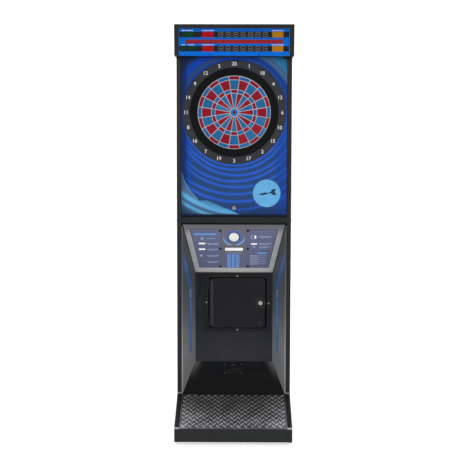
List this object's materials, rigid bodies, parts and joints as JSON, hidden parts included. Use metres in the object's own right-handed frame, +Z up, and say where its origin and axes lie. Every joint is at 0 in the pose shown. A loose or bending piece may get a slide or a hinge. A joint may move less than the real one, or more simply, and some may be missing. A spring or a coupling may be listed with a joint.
{
  "type": "electronic dartboard",
  "caption": "Floor-standing electronic dart machine: tall cabinet with a lift-up target head, score header, sloped control panel, coin door and tread-plate foot.",
  "frame": {"origin": "on the floor, at the centre of the footprint (628 mm wide, 700 mm deep)", "axes": "+X to the right of a player facing the target, +Y away from the player towards the wall, +Z up"},
  "size_m": [0.628, 0.7, 2.183],
  "materials": {
    "black_laminate": "black laminated board, fine texture",
    "black_trim": "black moulded trim, satin",
    "black_steel": "black powder coat",
    "raw_board": "unfinished board",
    "tread_metal": "worn tread plate",
    "wall_grey": "dark grey laminated board with printed blue stripe",
    "silver": "brushed anodised frame",
    "zinc": "zinc plated",
    "brass": "lock face, satin",
    "overlay_blue": "printed plastic sheet with pictograms",
    "centre_grey": "grey-brown plate",
    "button_white": "translucent white button",
    "ring_blue": "blue lit ring",
    "art_blue": "board with printed blue artwork under clear film",
    "ring_grey": "dark grey number ring",
    "segment_red": "moulded segments, red and blue in turn",
    "segment_blue": "moulded segments, blue and red in turn",
    "web_grey": "light grey divider web",
    "rubber": "black rubber",
    "circuit": "green circuit board",
    "header_blue": "blue printed acrylic",
    "header_black": "display housings with grey segments",
    "lens_red": "tinted lenses: red, green and amber",
    "clear_film": "clear film with printed tracks"
  },
  "bodies": {
    "cabinet": {"side_panel_left": "black_laminate", "side_panel_right": "black_laminate", "edge_moulding_left": "black_trim", "edge_moulding_right": "black_trim", "bottom_board": "raw_board", "top_board": "raw_board", "base_front_board": "black_laminate", "back_panel": "black_laminate", "tread_plate": "tread_metal", "ramp_panel": "black_laminate", "ramp_service_plate": "black_steel", "recess_wall_left": "wall_grey", "recess_wall_right": "wall_grey", "recess_back_panel": "black_steel", "control_backing_plate": "black_steel", "control_bezel": "silver", "instruction_overlay_right": "overlay_blue", "instruction_overlay_left": "overlay_blue", "centre_plate": "centre_grey", "start_button_housing": "ring_blue", "start_button_switch": "black_trim", "select_button_housing": "black_trim", "coin_door_frame": "black_steel", "narrow_cover_plate": "black_steel", "cash_box": "zinc", "head_rail": "black_laminate", "head_hinge_fixed_leaf": "zinc", "header_housing": "black_laminate", "header_face": "header_blue", "lamp_lens_strip_upper": "lens_red", "lamp_lens_strip_lower": "lens_red", "score_display_upper": "header_black", "score_display_lower": "header_black", "message_display": "lens_red", "main_board": "circuit"},
    "head_door": {"head_door_panel": "art_blue", "head_hinge_door_leaf": "zinc", "number_ring": "ring_grey", "catch_ring": "rubber", "target_web": "web_grey", "sensor_matrix": "clear_film", "rubber_pad": "rubber", "target_back_plate": "black_trim", "matrix_board": "circuit"},
    "head_lock": {"head_door_lock": "brass"},
    "coin_door": {"coin_door": "black_steel", "coin_mechanism": "zinc"},
    "coin_lock": {"coin_door_lock": "zinc"},
    "start_button": {"start_button": "button_white"},
    "select_button": {"select_button": "button_white"},
    "double_ring": {"double_segments": "segment_red"},
    "outer_single_ring": {"outer_single_segments": "segment_blue"},
    "triple_ring": {"triple_segments": "segment_red"},
    "inner_single_ring": {"inner_single_segments": "segment_blue"},
    "outer_bull": {"outer_bull": "segment_blue"},
    "inner_bull": {"inner_bull": "segment_red"},
    "foot_front_left": {"foot_front_left": "zinc"},
    "foot_front_right": {"foot_front_right": "zinc"},
    "foot_rear_left": {"foot_rear_left": "zinc"},
    "foot_rear_right": {"foot_rear_right": "zinc"}
  },
  "joints": [
    {"name": "head_door_lift", "type": "hinge", "parent": "cabinet", "child": "head_door", "pos_m": [0, -0.047, 2.014], "axis": [-1, 0, 0], "range_deg": [0, 80]},
    {"name": "head_lock_turn", "type": "hinge", "parent": "head_door", "child": "head_lock", "pos_m": [0, -0.05, 1.217], "axis": [0, 1, 0], "range_deg": [0, 90]},
    {"name": "coin_door_swing", "type": "hinge", "parent": "cabinet", "child": "coin_door", "pos_m": [-0.1345, 0.1044, 0.676], "axis": [0, 0, -1], "range_deg": [0, 110]},
    {"name": "coin_lock_turn", "type": "hinge", "parent": "coin_door", "child": "coin_lock", "pos_m": [0.147, 0.1, 0.676], "axis": [0, -1, 0], "range_deg": [0, 90]},
    {"name": "start_button_press", "type": "slide", "parent": "cabinet", "child": "start_button", "axis": [0, 0.8734, 0.4869], "range_m": [0, 0.004], "stiffness_N_per_m": 400, "springref_m": -0.002},
    {"name": "select_button_press", "type": "slide", "parent": "cabinet", "child": "select_button", "axis": [0, 0.8734, 0.4869], "range_m": [0, 0.003], "stiffness_N_per_m": 400, "springref_m": -0.002},
    {"name": "double_ring_press", "type": "slide", "parent": "head_door", "child": "double_ring", "axis": [0, 1, 0], "range_m": [0, 0.0015], "stiffness_N_per_m": 3000, "springref_m": -0.0002},
    {"name": "outer_single_ring_press", "type": "slide", "parent": "head_door", "child": "outer_single_ring", "axis": [0, 1, 0], "range_m": [0, 0.0015], "stiffness_N_per_m": 3000, "springref_m": -0.0002},
    {"name": "triple_ring_press", "type": "slide", "parent": "head_door", "child": "triple_ring", "axis": [0, 1, 0], "range_m": [0, 0.0015], "stiffness_N_per_m": 3000, "springref_m": -0.0002},
    {"name": "inner_single_ring_press", "type": "slide", "parent": "head_door", "child": "inner_single_ring", "axis": [0, 1, 0], "range_m": [0, 0.0015], "stiffness_N_per_m": 3000, "springref_m": -0.0002},
    {"name": "outer_bull_press", "type": "slide", "parent": "head_door", "child": "outer_bull", "axis": [0, 1, 0], "range_m": [0, 0.0015], "stiffness_N_per_m": 3000, "springref_m": -0.0002},
    {"name": "inner_bull_press", "type": "slide", "parent": "head_door", "child": "inner_bull", "axis": [0, 1, 0], "range_m": [0, 0.0015], "stiffness_N_per_m": 3000, "springref_m": -0.0002},
    {"name": "foot_front_left_screw", "type": "hinge", "parent": "cabinet", "child": "foot_front_left", "pos_m": [-0.245, -0.262, 0.02], "axis": [0, 0, 1], "continuous": true},
    {"name": "foot_front_right_screw", "type": "hinge", "parent": "cabinet", "child": "foot_front_right", "pos_m": [0.245, -0.262, 0.02], "axis": [0, 0, 1], "continuous": true},
    {"name": "foot_rear_left_screw", "type": "hinge", "parent": "cabinet", "child": "foot_rear_left", "pos_m": [-0.245, 0.3, 0.02], "axis": [0, 0, 1], "continuous": true},
    {"name": "foot_rear_right_screw", "type": "hinge", "parent": "cabinet", "child": "foot_rear_right", "pos_m": [0.245, 0.3, 0.02], "axis": [0, 0, 1], "continuous": true}
  ]
}
